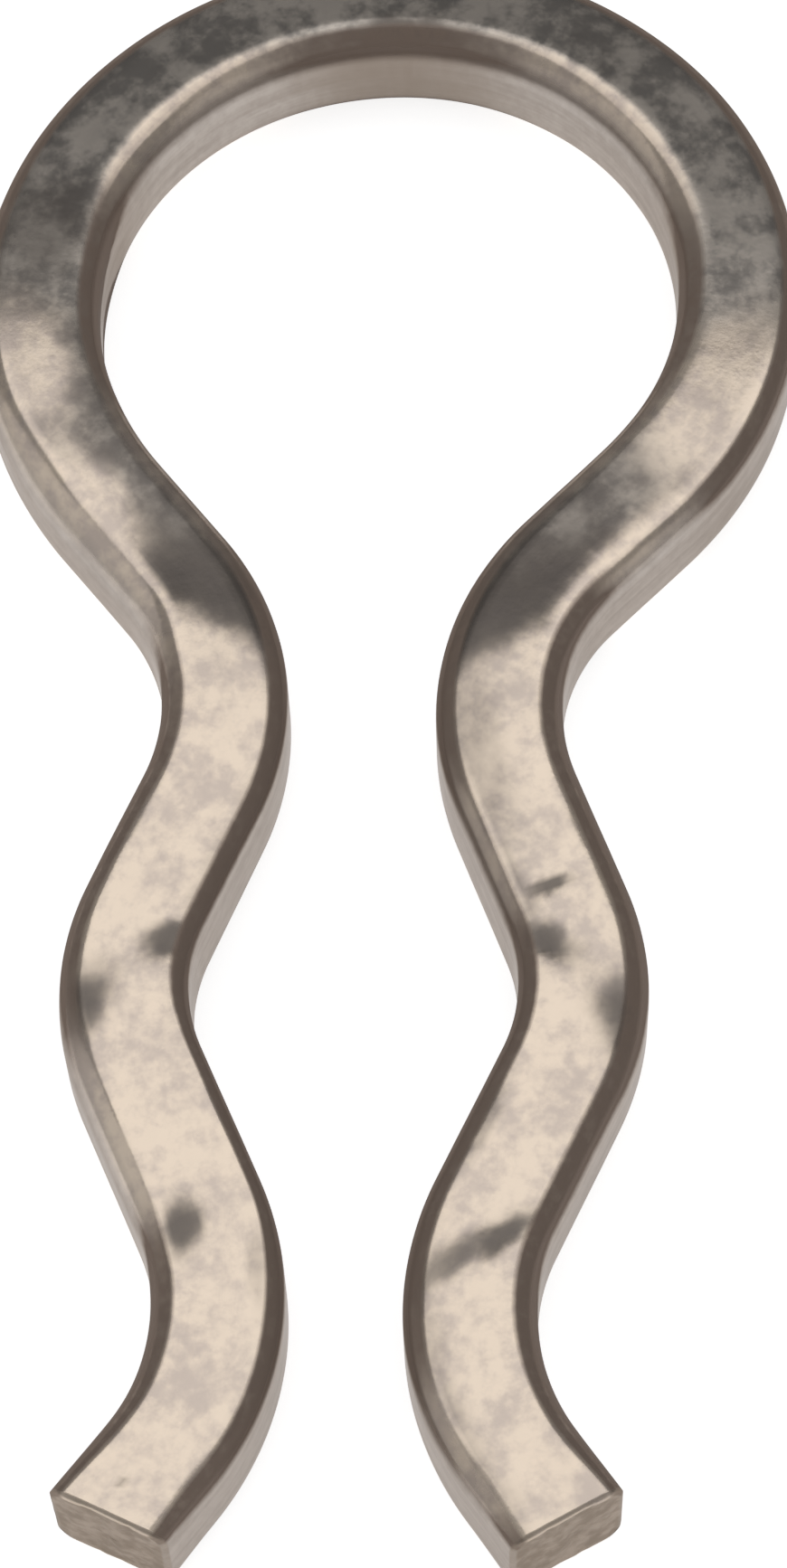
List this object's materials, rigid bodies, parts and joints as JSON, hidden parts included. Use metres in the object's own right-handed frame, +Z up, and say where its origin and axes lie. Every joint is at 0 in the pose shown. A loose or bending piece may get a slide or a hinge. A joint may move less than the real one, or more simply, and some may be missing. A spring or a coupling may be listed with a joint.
{
  "type": "snap ring",
  "caption": "Hairpin snap ring of square spring wire: a round loop and two wavy legs that snap over a grooved pin and grip it between two necks.",
  "frame": {"origin": "middle of the clip's box, on the plane that its underside rests on", "axes": "+Z up through the wire, +Y along the clip towards its loop, +X across the clip towards the right leg"},
  "size_m": [0.0054, 0.0112, 0.0008],
  "materials": {
    "spring_steel": "rolled bright, with darker oxide in the loop and where tools gripped it"
  },
  "bodies": {
    "root": {"clip": "spring_steel"}
  },
  "joints": []
}
